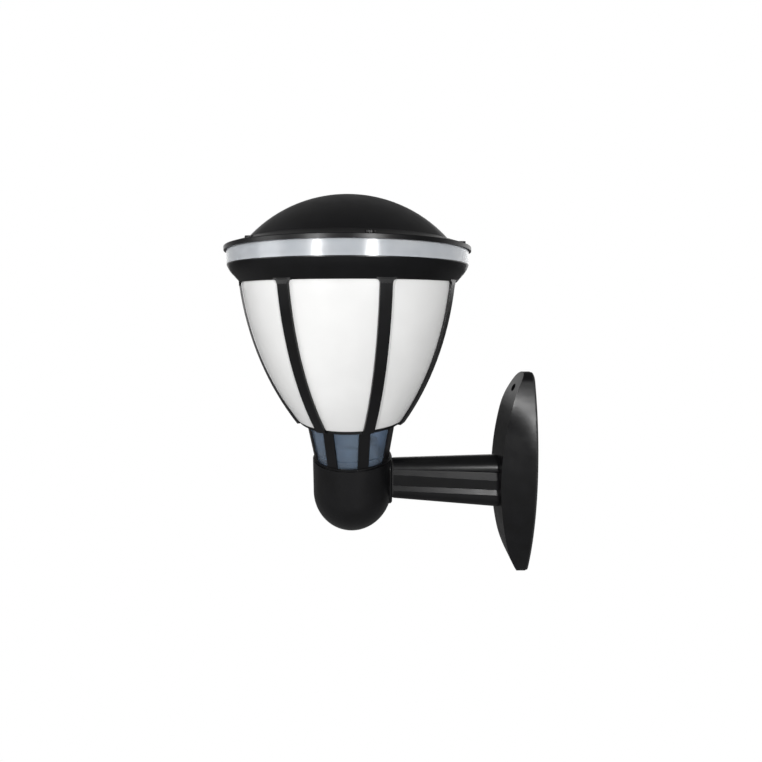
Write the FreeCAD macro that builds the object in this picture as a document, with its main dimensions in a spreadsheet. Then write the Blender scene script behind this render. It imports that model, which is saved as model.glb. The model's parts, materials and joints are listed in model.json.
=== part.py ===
import FreeCAD, Part
import math
import os
import re
import Sketcher

# Wall lantern for a fence or porch: domed cap, clear light band, ribbed cage round an opal shade,
# smoked lower lens, half-ball cup, fluted arm and a long oval wall plate.
# Frame: origin in the middle of the back of the wall gasket, +Z up, the lantern towards -X, millimetres.

Vector = FreeCAD.Vector
doc = FreeCAD.newDocument("wall_lantern")

# Driving dimensions: lengths in millimetres, angles in degrees
DRIVING = {
    # where things stand
    "lantern_reach": 137.0,
    "axis_drop": 5.0,
    "rib_azimuth": 19.4,
    "lug_azimuth": 24.7,
    # cup and its boss
    "cup_radius": 30.4,
    "cup_wall": 4.0,
    "cup_height": 26.2,
    "cup_drop": 12.0,
    "rim_wall": 1.7,
    "rim_depth": 3.0,
    "boss_reach": 30.7,
    "boss_inset": 9.0,
    "boss_half_width": 9.6,
    "boss_half_height": 19.0,
    "boss_fillet": 2.0,
    "boss_land": 4.5,
    # lower cage and lens
    "sill_height": 1.3,
    "sill_wall": 1.3,
    "window_height": 29.0,
    "flange_height": 1.1,
    "flange_radius": 38.4,
    "lens_foot_radius": 28.1,
    "lens_head_radius": 33.5,
    "lens_wall": 1.6,
    "lens_line_height": 4.9,
    "lens_line_depth": 0.4,
    "lens_line_width": 1.2,
    "lower_rib_width": 8.1,
    "lower_rib_proud": 0.75,
    "lower_rib_thickness": 1.1,
    # upper cage
    "rib_count": 8,
    "rib_width": 7.5,
    "rib_proud": 1.2,
    "rib_thickness": 1.5,
    "rib_flare": 2.4,
    "ring_height": 1.4,
    "ring_radius": 40.0,
    "ring_bore": 31.6,
    "collar_radius": 85.5,
    "collar_height": 12.0,
    "collar_side": 0.7,
    "collar_foot_radius": 77.6,
    "collar_shoulder_radius": 81.3,
    "collar_shoulder_height": 4.4,
    "collar_round": 18.0,
    "cage_screw_circle": 34.3,
    "cage_screw_count": 4,
    # shade
    "shade_height": 100.2,
    "shade_radius": 77.1,
    "shade_wall": 2.0,
    "shade_flange_height": 1.6,
    "shade_flange_radius": 82.6,
    "shade_turn_radius": 3.2,
    "bell_radius": 214.0,
    "belly_rise": 19.0,
    # light band
    "band_radius": 85.4,
    "band_wall": 2.4,
    "band_height": 8.8,
    "band_flange_height": 1.5,
    "band_bore": 77.6,
    "post_radius": 2.3,
    # cap
    "cap_wall": 2.0,
    "dome_rise": 33.0,
    "dome_root_radius": 72.35,
    "brim_radius": 87.1,
    "brim_rise": 5.3,
    "brim_edge_rise": 0.6,
    "brim_edge_width": 0.9,
    "brim_edge_round": 1.0,
    "lip_wall": 1.3,
    "lip_height": 2.3,
    "lip_overlap": 0.8,
    "seat_width": 5.2,
    "seat_depth": 0.6,
    "gasket_height": 0.8,
    "gasket_width": 4.45,
    "lug_count": 7,
    "lug_radius": 3.0,
    "lug_rise": 2.0,
    "lug_circle": 83.0,
    "lug_recess": 1.3,
    "cap_screw_length": 7.5,
    "cap_screw_hole": 5.6,
    # reflector
    "reflector_wall": 1.2,
    "reflector_hub": 8.0,
    "reflector_rise": 7.7,
    "reflector_radius": 73.5,
    "reflector_drop": 1.4,
    "reflector_post": 4.0,
    # lamp holder
    "bracket_drop": 11.0,
    "bracket_height": 1.5,
    "bracket_radius": 24.5,
    "bracket_screw_circle": 22.0,
    "pillar_radius": 3.2,
    "pillar_height": 16.0,
    "holder_radius": 19.5,
    "holder_bore": 16.5,
    "holder_height": 36.5,
    "holder_floor": 6.0,
    "holder_screw_offset": 8.0,
    "shell_radius": 14.3,
    "shell_wall": 0.8,
    "shell_height": 25.0,
    "contact_radius": 3.0,
    "contact_height": 1.5,
    "tag_reach": 23.5,
    "tag_foot": 3.4,
    "tag_height": 5.0,
    "tag_half_width": 1.6,
    "tag_thickness": 0.8,
    # lamp
    "lamp_cap_radius": 13.1,
    "lamp_cap_wall": 0.7,
    "lamp_cap_height": 23.5,
    "lamp_cap_taper": 2.6,
    "tip_height": 4.2,
    "tip_radius": 4.0,
    "neck_height": 36.0,
    "neck_root_radius": 13.9,
    "neck_spigot": 6.0,
    "globe_radius": 30.0,
    "globe_seat": 16.0,
    "globe_wall": 1.2,
    # arm
    "arm_root_half_width": 7.5,
    "arm_root_half_height": 15.9,
    "arm_root_lift": 1.35,
    "arm_wall_half_width": 9.0,
    "arm_wall_half_height": 20.5,
    "arm_wall_drop": 1.05,
    "upper_flute_root": 7.1,
    "upper_flute_wall": 6.0,
    "lower_flute_root": 5.7,
    "lower_flute_wall": 6.6,
    "flute_height": 3.5,
    "flute_spread": 5.9,
    "flute_depth": 1.1,
    "channel_half_width": 4.6,
    "channel_half_height": 6.5,
    "seal_thickness": 1.0,
    "arm_screw_offset": 10.5,
    "arm_screw_length": 11.0,
    "arm_screw_hole": 7.0,
    "plate_screw_length": 8.5,
    # wall plate
    "plate_half_height": 80.2,
    "plate_half_width": 21.0,
    "plate_end_radius": 9.0,
    "plate_depth": 24.8,
    "plate_shoulder_depth": 19.4,
    "plate_shoulder_level": 50.0,
    "plate_edge_depth": 6.8,
    "plate_tail_radius": 88.0,
    "plate_wall": 2.5,
    "land_depth": 3.0,
    "wall_gasket_height": 1.5,
    "wall_gasket_inset": 0.5,
    "fixing_spacing": 136.0,
    "fixing_radius": 2.75,
    "fixing_boss_radius": 5.5,
    # terminals
    "block_top": 27.0,
    "block_height": 18.0,
    "block_depth": 11.0,
    "block_half_width": 7.0,
    "block_ear_reach": 12.5,
    "block_ear_height": 6.0,
    "block_ear_depth": 2.0,
    "block_screw_offset": 9.8,
    "block_screw_length": 6.0,
    "terminal_level": 4.5,
    "terminal_screw_radius": 0.7,
    "terminal_head_radius": 1.2,
    "terminal_head_height": 0.8,
    "clamp_level": 49.5,
    "clamp_back": 9.0,
    "clamp_depth": 2.5,
    "clamp_height": 4.0,
    "clamp_half_width": 8.8,
    "clamp_screw_offset": 6.2,
    "clamp_screw_length": 6.5,
    "clamp_pillar_radius": 2.6,
    "cable_hole_level": 57.5,
    "cable_hole_radius": 4.5,
    "earth_level": 26.0,
    "earth_back": 14.0,
    "earth_screw_length": 5.0,
    # leads
    "lead_radius": 1.0,
    "lead_pitch": 3.0,
    "lead_drop": 1.0,
    "lead_bend": 10.5,
    "lead_turn": 21.5,
    "lead_grip": 6.0,
    "lead_entry": 15.0,
    # fasteners and fits
    "screw_radius": 1.5,
    "screw_head_radius": 2.9,
    "screw_head_height": 1.8,
    "small_screw_radius": 1.0,
    "small_head_radius": 2.1,
    "small_head_height": 1.1,
    "small_screw_hole": 4.5,
    "slip_fit": 0.15,
    "part_fit": 0.3,
}

sizes = doc.addObject("Spreadsheet::Sheet", "Sizes")
for row, (name, size) in enumerate(DRIVING.items(), start=1):
    sizes.set(f"A{row}", name)
    sizes.set(f"B{row}", str(size))
    sizes.setAlias(f"B{row}", name)
doc.recompute()

# Levels up the lantern, each built on the one below
CUP_TOP = "(cup_height - cup_drop)"
SILL_TOP = f"({CUP_TOP} + sill_height)"
FLANGE_BASE = f"({SILL_TOP} + window_height)"
RING_BASE = f"({FLANGE_BASE} + flange_height)"
RING_TOP = f"({RING_BASE} + ring_height)"
COLLAR_BASE = f"({RING_TOP} + shade_height)"
COLLAR_TOP = f"({COLLAR_BASE} + collar_height)"
BAND_FLOOR = f"({COLLAR_TOP} + shade_flange_height)"
LIP_BASE = f"({COLLAR_TOP} + band_height)"
BAND_TOP = f"({LIP_BASE} + lip_overlap)"
CAP_SEAT = f"({BAND_TOP} + gasket_height)"
LIP_TOP = f"({LIP_BASE} + lip_height)"
DOME_BASE = f"({LIP_TOP} + brim_rise)"
DOME_TOP = f"({DOME_BASE} + dome_rise)"
LUG_TOP = f"({LIP_TOP} + lug_rise)"
CAP_SCREW_SEAT = f"({LUG_TOP} - lug_recess)"
REFLECTOR_TOP = f"({CAP_SEAT} - reflector_drop)"
HUB_TOP = f"({REFLECTOR_TOP} - reflector_rise)"
BRACKET_TOP = "(bracket_height - bracket_drop)"
HOLDER_FLOOR = f"({BRACKET_TOP} + holder_floor)"
LAMP_BASE = f"({HOLDER_FLOOR} + contact_height + part_fit)"
LAMP_CAP_BASE = f"({LAMP_BASE} + tip_height)"
LAMP_CAP_TOP = f"({LAMP_CAP_BASE} + lamp_cap_height)"
GLOBE_BASE = f"({LAMP_CAP_TOP} + neck_height)"
GLOBE_LEVEL = f"({GLOBE_BASE} + globe_seat)"
LENS_FOOT = f"({CUP_TOP} - rim_depth)"
BELL_LEVEL = f"({COLLAR_BASE} + belly_rise)"

# Other sizes that follow from the driving ones
DOME_RADIUS = "((dome_root_radius^2 + dome_rise^2) / (2 * dome_rise))"
LIP_BORE = "(brim_radius - lip_wall)"
BAND_BORE = "(band_radius - band_wall)"
GLOBE_SEAT_RADIUS = "sqrt(globe_radius^2 - globe_seat^2)"
RIB_BACK = "(rib_proud - rib_thickness)"
SHADE_FACE = f"({RIB_BACK} - part_fit)"
SHADE_BACK = f"({SHADE_FACE} - shade_wall)"
LOWER_RIB_BACK = "(lower_rib_proud - lower_rib_thickness)"
LENS_FACE = f"({LOWER_RIB_BACK} - slip_fit)"
ARM_LEVEL = "(-axis_drop)"
ARM_ROOT_LEVEL = "(arm_root_lift - axis_drop)"
ARM_WALL_LEVEL = "(-axis_drop - arm_wall_drop)"
PLATE_SCREW_SEAT = "(plate_wall - plate_depth)"
ARM_START = "(boss_reach + seal_thickness - lantern_reach)"
ARM_LENGTH = f"(-plate_depth - {ARM_START})"
LEAD_LEVEL = "(-axis_drop - lead_drop)"
BLOCK_CENTRE = "(lead_bend - lead_turn)"
BLOCK_SEAT = f"({BLOCK_CENTRE} - block_depth / 2)"
BLOCK_BACK = f"({BLOCK_CENTRE} + block_depth / 2)"
BLOCK_LEVEL = "(-block_top - block_height / 2)"
CLEAR_HOLE = "(screw_radius + slip_fit)"
SMALL_HOLE = "(small_screw_radius + slip_fit)"
POST_HOLE = "(small_screw_radius + part_fit)"
LEAD_HOLE = "(lead_radius + slip_fit)"


def bound(expression):
    """Write each dimension name as its spreadsheet cell; every name has an underscore in it."""
    return re.sub(r"\b[a-z]+(_[a-z]+)+\b", r"Sizes.\g<0>", str(expression))


def measure(expression):
    """Value of an expression of dimension names."""
    return float(sizes.evalExpression(bound(expression)))


def bell(level, offset):
    """Radius at a level of the arc that bounds the shade, moved outwards by offset."""
    centre = "(shade_radius - sqrt(bell_radius^2 - belly_rise^2))"
    return f"({centre} + sqrt((bell_radius + {offset})^2 - ({BELL_LEVEL} - {level})^2))"


def cone(level, offset):
    """Radius at a level of the cone that bounds the lower lens, moved outwards by offset."""
    slope = "(lens_head_radius - lens_foot_radius) / window_height"
    return f"(lens_foot_radius + {slope} * ({level} - {SILL_TOP}) + {offset})"


def new_body(label, reach=True, turn=None):
    """Empty body. With reach it stands on the lantern's axis, and turn turns it about that axis."""
    body = doc.addObject("PartDesign::Body", label)
    body.Label = label
    body.AllowCompound = True
    if reach:
        body.setExpression("Placement.Base.x", bound("-lantern_reach"))
    if turn:
        body.Placement.Rotation = FreeCAD.Rotation(Vector(0, 0, 1), measure(turn))
        body.setExpression("Placement.Rotation.Angle", bound(turn))
    return body


def origin_feature(body, role):
    """Origin plane or axis of a body."""
    return next(item for item in body.Origin.OriginFeatures if item.Role == role)


def new_sketch(body, role, offset="0"):
    """Sketch on an origin plane of the body, moved along that plane's normal."""
    sketch = body.newObject("Sketcher::SketchObject", f"{body.Label}_sketch")
    sketch.AttachmentSupport = [(origin_feature(body, role), "")]
    sketch.MapMode = "FlatFace"
    sketch.AttachmentOffset = FreeCAD.Placement(Vector(0, 0, measure(offset)), FreeCAD.Rotation())
    sketch.setExpression("AttachmentOffset.Base.z", bound(offset))
    return sketch


def dimension(sketch, kind, *where, size):
    """Dimension in a sketch, tied to the spreadsheet."""
    index = sketch.addConstraint(Sketcher.Constraint(kind, *where, measure(size)))
    sketch.setExpression(f"Constraints[{index}]", bound(size))


def pin_point(sketch, piece, point, across, up):
    """Hold a point of a sketch at its distances from the sketch's origin."""
    dimension(sketch, "DistanceX", -1, 1, piece, point, size=across)
    dimension(sketch, "DistanceY", -1, 1, piece, point, size=up)


def arc_between(start, end, radius, side):
    """Arc of less than half a circle; side is 1 when its centre lies left of the way, -1 when right."""
    chord = end - start
    rise = math.sqrt(max(radius**2 - chord.Length**2 / 4, 0.0))
    left = Vector(-chord.y, chord.x, 0).normalize()
    centre = (start + end) / 2 + left * rise * side
    first, last = (start, end) if side > 0 else (end, start)
    angles = [math.atan2(p.y - centre.y, p.x - centre.x) for p in (first, last)]
    return Part.ArcOfCircle(Part.Circle(centre, Vector(0, 0, 1), radius), *angles)


def outline(sketch, corners, closed=True):
    """Chain of lines and arcs. A corner is (across, up), with (radius, side) added where an arc leaves it."""
    points = [Vector(measure(c[0]), measure(c[1]), 0) for c in corners]
    ends = []
    count = len(corners) if closed else len(corners) - 1
    for number in range(count):
        corner = corners[number]
        start = points[number]
        end = points[(number + 1) % len(points)]
        if len(corner) == 2:
            piece = sketch.addGeometry(Part.LineSegment(start, end))
            ends.append((piece, 1, 2))
        else:
            piece = sketch.addGeometry(arc_between(start, end, measure(corner[2]), corner[3]))
            dimension(sketch, "Radius", piece, size=corner[2])
            ends.append((piece, 1, 2) if corner[3] > 0 else (piece, 2, 1))
    for number, (piece, start, end) in enumerate(ends):
        pin_point(sketch, piece, start, corners[number][0], corners[number][1])
        if number + 1 < len(ends) or closed:
            following = ends[(number + 1) % len(ends)]
            sketch.addConstraint(Sketcher.Constraint("Coincident", piece, end, following[0], following[1]))
        else:
            pin_point(sketch, piece, end, corners[-1][0], corners[-1][1])
    return sketch


def circle(sketch, across, up, radius):
    """Circle held by its centre and radius."""
    centre = Vector(measure(across), measure(up), 0)
    piece = sketch.addGeometry(Part.Circle(centre, Vector(0, 0, 1), measure(radius)))
    dimension(sketch, "Radius", piece, size=radius)
    pin_point(sketch, piece, 3, across, up)
    return sketch


def rectangle(sketch, low_across, high_across, low_up, high_up):
    """Upright rectangle."""
    corners = [(low_across, low_up), (high_across, low_up), (high_across, high_up), (low_across, high_up)]
    return outline(sketch, corners)


def stadium(sketch, half_width, half_height, level):
    """Upright slot shape: two straight sides and two half-round ends, each end as two arcs."""
    straight = f"({half_height} - {half_width})"
    return outline(sketch, [
        (f"{half_width}", f"{level} - {straight}"),
        (f"{half_width}", f"{level} + {straight}", half_width, 1),
        ("0", f"{level} + {half_height}", half_width, 1),
        (f"-{half_width}", f"{level} + {straight}"),
        (f"-{half_width}", f"{level} - {straight}", half_width, 1),
        ("0", f"{level} - {half_height}", half_width, 1),
    ])


def long_oval(sketch, inset):
    """Wall plate's outline: two long side arcs run smoothly into two small end arcs."""
    half_width = f"(plate_half_width - {inset})"
    end_radius = f"(plate_end_radius - {inset})"
    rise = "(plate_half_height - plate_end_radius)"
    side_radius = f"(({half_width}^2 + {rise}^2 - {end_radius}^2) / (2 * ({half_width} - {end_radius})))"
    share = f"({end_radius} / ({side_radius} - {end_radius}))"
    across = f"({share} * ({side_radius} - {half_width}))"
    up = f"({rise} * (1 + {share}))"
    return outline(sketch, [
        (across, f"-{up}", side_radius, 1),
        (across, up, end_radius, 1),
        (f"-{across}", up, side_radius, 1),
        (f"-{across}", f"-{up}", end_radius, 1),
    ])


def revolve(body, corners):
    """Solid of revolution about the body's Z axis; corners are (radius, level)."""
    sketch = outline(new_sketch(body, "XZ_Plane"), corners)
    feature = body.newObject("PartDesign::Revolution", f"{body.Label}_turned")
    feature.Profile = sketch
    feature.ReferenceAxis = (sketch, ["V_Axis"])
    feature.Angle = 360
    return feature


def pad(body, sketch, length, back=False, both=False):
    """Pad a sketch along its normal, against it, or half each way."""
    feature = body.newObject("PartDesign::Pad", f"{body.Label}_pad")
    feature.Profile = sketch
    feature.SideType = "Symmetric" if both else "One side"
    feature.Reversed = back
    feature.Length = measure(length)
    feature.setExpression("Length", bound(length))
    return feature


def pocket(body, sketch, length, back=False, both=False):
    """Cut a sketch out of the body: against its normal, along it when back is set, or half each way."""
    doc.recompute()
    before = body.Tip.Shape.Volume
    feature = body.newObject("PartDesign::Pocket", f"{body.Label}_pocket")
    feature.Profile = sketch
    feature.SideType = "Symmetric" if both else "One side"
    feature.Reversed = back
    feature.Length = measure(length)
    feature.setExpression("Length", bound(length))
    doc.recompute()
    if feature.Shape.Volume >= before:
        raise RuntimeError(f"{body.Label}: a pocket cuts nothing")
    return feature


def polar(body, features, count):
    """Repeat features evenly round the body's Z axis."""
    doc.recompute()
    feature = body.newObject("PartDesign::PolarPattern", f"{body.Label}_round")
    feature.Originals = features
    feature.Axis = (origin_feature(body, "Z_Axis"), [""])
    feature.Angle = 360
    feature.Occurrences = int(measure(count))
    feature.setExpression("Occurrences", bound(count))
    body.Tip = feature
    doc.recompute()
    return feature


def hollow(body, corners):
    """Cut a solid of revolution about the body's Z axis out of it; corners are (radius, level)."""
    sketch = outline(new_sketch(body, "XZ_Plane"), corners)
    feature = body.newObject("PartDesign::Groove", f"{body.Label}_groove")
    feature.Profile = sketch
    feature.ReferenceAxis = (sketch, ["V_Axis"])
    feature.Angle = 360
    return feature


def loft(body, sketches, cut=False):
    """Loft through sketches, added to the body or cut out of it."""
    kind = "PartDesign::SubtractiveLoft" if cut else "PartDesign::AdditiveLoft"
    feature = body.newObject(kind, f"{body.Label}_loft")
    feature.Profile = sketches[0]
    feature.Sections = sketches[1:]
    feature.Ruled = True
    return feature


def fillet(body, radius, wanted):
    """Round the edges of the body's last feature that the test picks."""
    doc.recompute()
    base = body.Tip
    edges = [f"Edge{n}" for n, edge in enumerate(base.Shape.Edges, start=1) if wanted(edge)]
    feature = body.newObject("PartDesign::Fillet", f"{body.Label}_fillet")
    feature.Base = (base, edges)
    feature.Radius = measure(radius)
    feature.setExpression("Radius", bound(radius))
    return feature


def screws(label, places, seat, length, size="screw", way=1, along="Z", turn=None, reach=True, count=None):
    """Screws of one kind, with their heads on a seat and facing up the axis, or down when way is -1.

    A place is (x, y) along Z and (y, z) along X. With count, the first place is repeated about Z."""
    body = new_body(label, reach, turn)
    length = f"({length})"
    shank, head, height = {
        "screw": ("screw_radius", "screw_head_radius", "screw_head_height"),
        "small": ("small_screw_radius", "small_head_radius", "small_head_height"),
        "terminal": ("terminal_screw_radius", "terminal_head_radius", "terminal_head_height"),
    }[size]
    section = [
        ("0", f"-{way} * {length}"),
        (shank, f"-{way} * {length}"),
        (shank, "0"),
        (head, "0"),
        (head, f"{way} * 0.6 * {height}"),
        (f"0.7 * {head}", f"{way} * {height}"),
        ("0", f"{way} * {height}"),
    ]
    for first, second in places:
        if along == "Z":
            sketch = new_sketch(body, "XZ_Plane", f"-({second})")
            corners = [(f"{first} + {out}", f"{seat} + {up}") for out, up in section]
            line = [(first, seat), (first, f"{seat} + {length}")]
        else:
            sketch = new_sketch(body, "XZ_Plane", f"-({first})")
            corners = [(f"{seat} + {up}", f"{second} + {out}") for out, up in section]
            line = [(seat, second), (f"{seat} + {length}", second)]
        outline(sketch, corners)
        ends = [Vector(measure(across), measure(up), 0) for across, up in line]
        axis = sketch.addGeometry(Part.LineSegment(*ends), True)
        for point, (across, up) in enumerate(line, start=1):
            pin_point(sketch, axis, point, across, up)
        feature = body.newObject("PartDesign::Revolution", f"{label}_turned")
        feature.Profile = sketch
        feature.ReferenceAxis = (sketch, ["Axis0"])
        feature.Angle = 360
    if count:
        polar(body, [feature], count)
    return body


def make_wall_gasket():
    body = new_body("wall_gasket", reach=False)
    sketch = long_oval(new_sketch(body, "YZ_Plane", "-wall_gasket_height"), "wall_gasket_inset")
    circle(sketch, "0", "-cable_hole_level", "cable_hole_radius")
    for way in (1, -1):
        circle(sketch, "0", f"{way} * fixing_spacing / 2", "fixing_radius")
    pad(body, sketch, "wall_gasket_height")


def arched_form(label, inset):
    """Long oval prism with an arched front, its faces moved inwards by inset."""
    body = new_body(label, reach=False)
    back = long_oval(new_sketch(body, "YZ_Plane", "-wall_gasket_height"), inset)
    pad(body, back, "plate_depth - wall_gasket_height", back=True)
    crown_drop = "(plate_depth - plate_shoulder_depth)"
    crown_radius = f"((plate_shoulder_level^2 + {crown_drop}^2) / (2 * {crown_drop}))"
    edge = f"({inset} - plate_edge_depth)"
    shoulder = f"({inset} - plate_shoulder_depth)"
    beyond = "(-plate_depth - plate_wall)"
    clear = "(plate_half_height + plate_wall)"
    waste = outline(new_sketch(body, "XZ_Plane"), [
        (edge, "-plate_half_height", "plate_tail_radius", -1),
        (shoulder, "-plate_shoulder_level", crown_radius, -1),
        (shoulder, "plate_shoulder_level", "plate_tail_radius", -1),
        (edge, "plate_half_height"),
        (edge, clear),
        (beyond, clear),
        (beyond, f"-{clear}"),
        (edge, f"-{clear}"),
    ])
    pocket(body, waste, "2 * plate_half_width + 2 * plate_wall", both=True)
    return body


def make_wall_plate():
    form = arched_form("plate_form", "0")
    land = stadium(new_sketch(form, "YZ_Plane", "-plate_depth"),
                   "arm_wall_half_width", "arm_wall_half_height", ARM_WALL_LEVEL)
    pad(form, land, "land_depth")
    holes = new_sketch(form, "YZ_Plane", "-wall_gasket_height")
    stadium(holes, "channel_half_width", "channel_half_height", ARM_LEVEL)
    for way in (1, -1):
        circle(holes, "0", f"{ARM_LEVEL} + {way} * arm_screw_offset", CLEAR_HOLE)
        circle(holes, "0", f"{way} * fixing_spacing / 2", "fixing_radius")
    pocket(form, holes, "plate_depth")

    cavity = arched_form("plate_cavity", "plate_wall")
    bosses = new_sketch(cavity, "YZ_Plane", "-wall_gasket_height")
    for way in (1, -1):
        circle(bosses, "0", f"{way} * fixing_spacing / 2", "fixing_boss_radius")
    pocket(cavity, bosses, "plate_depth")
    block_pillars = new_sketch(cavity, "YZ_Plane", BLOCK_SEAT)
    clamp_pillars = new_sketch(cavity, "YZ_Plane", "-clamp_back")
    for way in (1, -1):
        circle(block_pillars, f"{way} * block_screw_offset", BLOCK_LEVEL, "clamp_pillar_radius")
        circle(clamp_pillars, f"{way} * clamp_screw_offset", "-clamp_level", "clamp_pillar_radius")
    pocket(cavity, block_pillars, "plate_depth")
    pocket(cavity, clamp_pillars, "plate_depth")
    earth_pillar = circle(new_sketch(cavity, "YZ_Plane", "-earth_back"), "0", "earth_level", "pillar_radius")
    pocket(cavity, earth_pillar, "plate_depth")
    spots = new_sketch(cavity, "YZ_Plane", PLATE_SCREW_SEAT)
    for way in (1, -1):
        circle(spots, "0", f"{ARM_LEVEL} + {way} * arm_screw_offset", "screw_head_radius + part_fit")
    pad(cavity, spots, "plate_wall")
    block_holes = new_sketch(form, "YZ_Plane", BLOCK_SEAT)
    clamp_holes = new_sketch(form, "YZ_Plane", "-clamp_back")
    for way in (1, -1):
        circle(block_holes, f"{way} * block_screw_offset", BLOCK_LEVEL, SMALL_HOLE)
        circle(clamp_holes, f"{way} * clamp_screw_offset", "-clamp_level", SMALL_HOLE)
    pocket(form, block_holes, "small_screw_hole")
    pocket(form, clamp_holes, "small_screw_hole")
    earth_hole = circle(new_sketch(form, "YZ_Plane", "-earth_back"), "0", "earth_level", CLEAR_HOLE)
    pocket(form, earth_hole, "earth_screw_length + slip_fit")

    plate = doc.addObject("Part::Cut", "wall_plate")
    plate.Base = form
    plate.Tool = cavity


def make_terminal_block():
    body = new_body("terminal_block", reach=False)
    base = new_sketch(body, "YZ_Plane", BLOCK_SEAT)
    rectangle(base, "-block_ear_reach", "block_ear_reach",
              f"{BLOCK_LEVEL} - block_ear_height / 2", f"{BLOCK_LEVEL} + block_ear_height / 2")
    pad(body, base, "block_ear_depth")
    block = new_sketch(body, "YZ_Plane", BLOCK_SEAT)
    rectangle(block, "-block_half_width", "block_half_width", "-block_top - block_height", "-block_top")
    pad(body, block, "block_depth")
    ears = new_sketch(body, "YZ_Plane", BLOCK_SEAT)
    for way in (1, -1):
        circle(ears, f"{way} * block_screw_offset", BLOCK_LEVEL, SMALL_HOLE)
    pocket(body, ears, "block_ear_depth", back=True)
    bores = new_sketch(body, "XY_Plane", "-block_top")
    screw_holes = new_sketch(body, "YZ_Plane", BLOCK_BACK)
    for place in (-1, 0, 1):
        circle(bores, BLOCK_CENTRE, f"{place} * lead_pitch", LEAD_HOLE)
        for way in (1, -1):
            circle(screw_holes, f"{place} * lead_pitch", f"{BLOCK_LEVEL} + {way} * terminal_level",
                   "terminal_screw_radius + slip_fit")
    pocket(body, bores, "block_height")
    pocket(body, screw_holes, "block_depth / 2")


def make_cord_clamp():
    body = new_body("cord_clamp", reach=False)
    bar = new_sketch(body, "YZ_Plane", "-clamp_back")
    rectangle(bar, "-clamp_half_width", "clamp_half_width",
              "-clamp_level - clamp_height / 2", "-clamp_level + clamp_height / 2")
    for way in (1, -1):
        circle(bar, f"{way} * clamp_screw_offset", "-clamp_level", SMALL_HOLE)
    pad(body, bar, "clamp_depth")


def make_plate_fasteners():
    spread = [(f"{place} * lead_pitch", f"{BLOCK_LEVEL} + {way} * terminal_level")
              for place in (-1, 0, 1) for way in (1, -1)]
    screws("terminal_screws", spread, BLOCK_BACK, "block_depth / 2 - lead_radius - slip_fit",
           size="terminal", along="X", reach=False)
    pairs = [(f"{way} * block_screw_offset", BLOCK_LEVEL) for way in (1, -1)]
    screws("block_screws", pairs, f"({BLOCK_SEAT} + block_ear_depth)", "block_screw_length",
           size="small", along="X", reach=False)
    pairs = [(f"{way} * clamp_screw_offset", "-clamp_level") for way in (1, -1)]
    screws("clamp_screws", pairs, "(clamp_depth - clamp_back)", "clamp_screw_length",
           size="small", along="X", reach=False)
    screws("earth_screw", [("0", "earth_level")], "-earth_back", "earth_screw_length",
           along="X", reach=False)
    pairs = [("0", f"{ARM_LEVEL} + {way} * arm_screw_offset") for way in (1, -1)]
    screws("plate_screws", pairs, PLATE_SCREW_SEAT, "plate_screw_length",
           along="X", reach=False)
    screws("arm_screws", pairs, "(boss_reach - boss_land - lantern_reach)", "arm_screw_length",
           way=-1, along="X", reach=False)


def flute(body, side, place, face, level, height):
    """V section cut in the arm's flat side: a long slope below the deepest line and a short one above."""
    return outline(new_sketch(body, "YZ_Plane", place), [
        (f"{side} * ({face} + flute_depth)", f"{level} - 1.5 * {height}"),
        (f"{side} * ({face} + flute_depth)", f"{level} + {height}"),
        (f"{side} * ({face} - flute_depth)", f"{level} + 0.6 * {height}"),
    ])


def make_arm():
    body = new_body("arm", reach=False)
    root = stadium(new_sketch(body, "YZ_Plane", ARM_START),
                   "arm_root_half_width", "arm_root_half_height", ARM_ROOT_LEVEL)
    wall = stadium(new_sketch(body, "YZ_Plane", "-plate_depth"),
                   "arm_wall_half_width", "arm_wall_half_height", ARM_WALL_LEVEL)
    loft(body, [root, wall])
    flutes = [
        (f"({ARM_ROOT_LEVEL} + upper_flute_root)", f"({ARM_WALL_LEVEL} + upper_flute_wall)", "flute_spread"),
        (f"({ARM_ROOT_LEVEL} - lower_flute_root)", f"({ARM_WALL_LEVEL} - lower_flute_wall)", "flute_height"),
    ]
    for root_level, wall_level, wall_height in flutes:
        for side in (1, -1):
            loft(body, [
                flute(body, side, ARM_START, "arm_root_half_width", root_level, "flute_height"),
                flute(body, side, "-plate_depth", "arm_wall_half_width", wall_level, wall_height),
            ], cut=True)
    channel = new_sketch(body, "YZ_Plane", "-plate_depth")
    stadium(channel, "channel_half_width", "channel_half_height", ARM_LEVEL)
    pocket(body, channel, ARM_LENGTH)
    for place, back in ((ARM_START, True), ("-plate_depth", False)):
        holes = new_sketch(body, "YZ_Plane", place)
        for way in (1, -1):
            circle(holes, "0", f"{ARM_LEVEL} + {way} * arm_screw_offset", CLEAR_HOLE)
        pocket(body, holes, "arm_screw_hole", back=back)


def make_arm_seal():
    body = new_body("arm_seal", reach=False)
    sketch = new_sketch(body, "YZ_Plane", f"({ARM_START} - seal_thickness)")
    stadium(sketch, "(arm_root_half_width - part_fit)", "(arm_root_half_height - part_fit)",
            ARM_ROOT_LEVEL)
    stadium(sketch, "channel_half_width", "channel_half_height", ARM_LEVEL)
    for way in (1, -1):
        circle(sketch, "0", f"{ARM_LEVEL} + {way} * arm_screw_offset", CLEAR_HOLE)
    pad(body, sketch, "seal_thickness")


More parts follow.
